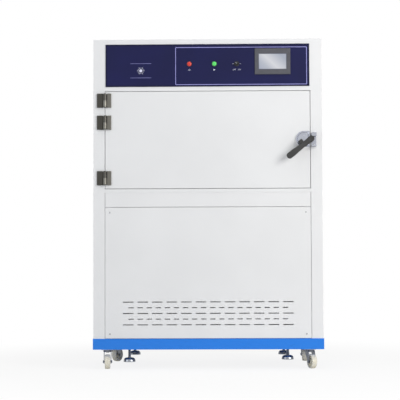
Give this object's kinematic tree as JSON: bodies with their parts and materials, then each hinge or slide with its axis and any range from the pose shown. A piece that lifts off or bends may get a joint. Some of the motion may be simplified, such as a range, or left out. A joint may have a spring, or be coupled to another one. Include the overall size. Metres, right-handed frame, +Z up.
{
  "type": "uv aging test chamber",
  "caption": "Floor-standing ultraviolet weathering cabinet with a hinged front door, lever latch, touch display panel, slotted lower front, swivel casters and levelling feet.",
  "frame": {"origin": "on the floor, under the middle of the outline", "axes": "+Z up, front towards -Y, +X to the right of someone facing the front"},
  "size_m": [1.286, 0.7, 1.845],
  "materials": {
    "white_paint": "light texture powder coat",
    "blue_paint": "gloss powder coat",
    "navy_print": "gloss printed face",
    "zinc_plate": "zinc plated",
    "chrome_plate": "polished chrome",
    "tongue_steel": "zinc plated",
    "stainless": "brushed stainless",
    "holder_aluminium": "anodised",
    "reflector_aluminium": "bright",
    "sample_coating": "painted sample plates",
    "probe_black": "matt black",
    "glass_wool": "fibrous",
    "seal_rubber": "matt silicone",
    "lamp_tube": "phosphor coated",
    "socket_plastic": "moulded",
    "motor_paint": "satin",
    "lever_plastic": "fine grain",
    "knob_plastic": "satin",
    "collar_plastic": "satin",
    "red_lens": "clear tinted",
    "green_lens": "clear tinted",
    "display_plastic": "fine grain",
    "display_glass": "coated",
    "wheel_ivory": "moulded",
    "tank_plastic": "translucent",
    "ballast_case": "satin",
    "fitting_brass": "machined"
  },
  "bodies": {
    "cabinet": {"base_frame": "blue_paint", "machine_deck": "zinc_plate", "caster_plates": "zinc_plate", "foot_nuts": "zinc_plate", "lower_side_panels": "white_paint", "cross_rail": "white_paint", "vent_panel": "white_paint", "vent_panel_screws": "chrome_plate", "back_panels": "white_paint", "upper_wrapper": "white_paint", "front_fascia": "white_paint", "chamber_deck": "zinc_plate", "chamber_liner": "stainless", "chamber_insulation": "glass_wool", "water_pan": "stainless", "pan_heater": "stainless", "uv_lamps": "lamp_tube", "lamp_holders": "socket_plastic", "lamp_reflector": "reflector_aluminium", "specimen_rack": "stainless", "specimen_holders": "holder_aluminium", "specimen_panels": "sample_coating", "black_panel_probe": "probe_black", "fan_cover": "stainless", "fan_motor": "motor_paint", "hinge_frame_leaves": "chrome_plate", "latch_keeper": "chrome_plate", "control_panel": "navy_print", "display_housing": "display_plastic", "display_screen": "display_glass", "panel_collars": "collar_plastic", "power_lamp": "red_lens", "run_lamp": "green_lens", "water_tank": "tank_plastic", "water_pump": "motor_paint", "electrical_plate": "zinc_plate", "ballasts": "ballast_case", "rear_fittings": "fitting_brass"},
    "door": {"door_skin": "white_paint", "door_core": "glass_wool", "door_inner_panel": "stainless", "door_seal": "seal_rubber", "hinge_door_leaves": "chrome_plate", "latch_base": "chrome_plate"},
    "latch": {"latch_lever": "lever_plastic", "latch_tongue": "tongue_steel"},
    "selector": {"selector_knob": "knob_plastic"},
    "fan": {"fan_impeller": "stainless"},
    "fork_front_left": {"caster_fork_front_left": "zinc_plate"},
    "wheel_front_left": {"caster_wheel_front_left": "wheel_ivory"},
    "foot_front_left": {"levelling_foot_front_left": "chrome_plate"},
    "fork_front_right": {"caster_fork_front_right": "zinc_plate"},
    "wheel_front_right": {"caster_wheel_front_right": "wheel_ivory"},
    "foot_front_right": {"levelling_foot_front_right": "chrome_plate"},
    "fork_rear_left": {"caster_fork_rear_left": "zinc_plate"},
    "wheel_rear_left": {"caster_wheel_rear_left": "wheel_ivory"},
    "foot_rear_left": {"levelling_foot_rear_left": "chrome_plate"},
    "fork_rear_right": {"caster_fork_rear_right": "zinc_plate"},
    "wheel_rear_right": {"caster_wheel_rear_right": "wheel_ivory"},
    "foot_rear_right": {"levelling_foot_rear_right": "chrome_plate"}
  },
  "joints": [
    {"name": "door_hinge", "type": "hinge", "parent": "cabinet", "child": "door", "pos_m": [-0.5745, -0.3003, 1.279], "axis": [0, 0, -1], "range_deg": [0, 165]},
    {"name": "latch_turn", "type": "hinge", "parent": "door", "child": "latch", "pos_m": [0.5525, -0.3215, 1.259], "axis": [0, 1, 0], "range_deg": [-14, 40]},
    {"name": "selector_turn", "type": "hinge", "parent": "cabinet", "child": "selector", "pos_m": [0.165, -0.2925, 1.705], "axis": [0, 1, 0], "range_deg": [0, 90]},
    {"name": "fan_spin", "type": "hinge", "parent": "cabinet", "child": "fan", "pos_m": [0, 0.174, 1.26], "axis": [0, 1, 0], "continuous": true},
    {"name": "swivel_front_left", "type": "hinge", "parent": "cabinet", "child": "fork_front_left", "pos_m": [-0.567, -0.215, 0.11], "axis": [0, 0, 1], "continuous": true},
    {"name": "roll_front_left", "type": "hinge", "parent": "fork_front_left", "child": "wheel_front_left", "pos_m": [-0.56491, -0.24493, 0.04], "axis": [0.9976, 0.0698, 0], "continuous": true},
    {"name": "level_front_left", "type": "slide", "parent": "cabinet", "child": "foot_front_left", "axis": [0, 0, 1], "range_m": [-0.047, 0.015]},
    {"name": "swivel_front_right", "type": "hinge", "parent": "cabinet", "child": "fork_front_right", "pos_m": [0.567, -0.215, 0.11], "axis": [0, 0, 1], "continuous": true},
    {"name": "roll_front_right", "type": "hinge", "parent": "fork_front_right", "child": "wheel_front_right", "pos_m": [0.57775, -0.24301, 0.04], "axis": [0.9336, 0.3584, 0], "continuous": true},
    {"name": "level_front_right", "type": "slide", "parent": "cabinet", "child": "foot_front_right", "axis": [0, 0, 1], "range_m": [-0.059, 0.015]},
    {"name": "swivel_rear_left", "type": "hinge", "parent": "cabinet", "child": "fork_rear_left", "pos_m": [-0.567, 0.235, 0.11], "axis": [0, 0, 1], "continuous": true},
    {"name": "roll_rear_left", "type": "hinge", "parent": "fork_rear_left", "child": "wheel_rear_left", "pos_m": [-0.552, 0.26098, 0.04], "axis": [-0.866, 0.5, 0], "continuous": true},
    {"name": "level_rear_left", "type": "slide", "parent": "cabinet", "child": "foot_rear_left", "axis": [0, 0, 1], "range_m": [-0.052, 0.015]},
    {"name": "swivel_rear_right", "type": "hinge", "parent": "cabinet", "child": "fork_rear_right", "pos_m": [0.567, 0.235, 0.11], "axis": [0, 0, 1], "continuous": true},
    {"name": "roll_rear_right", "type": "hinge", "parent": "fork_rear_right", "child": "wheel_rear_right", "pos_m": [0.57117, 0.26471, 0.04], "axis": [-0.9903, 0.1392, 0], "continuous": true},
    {"name": "level_rear_right", "type": "slide", "parent": "cabinet", "child": "foot_rear_right", "axis": [0, 0, 1], "range_m": [-0.052, 0.015]}
  ]
}
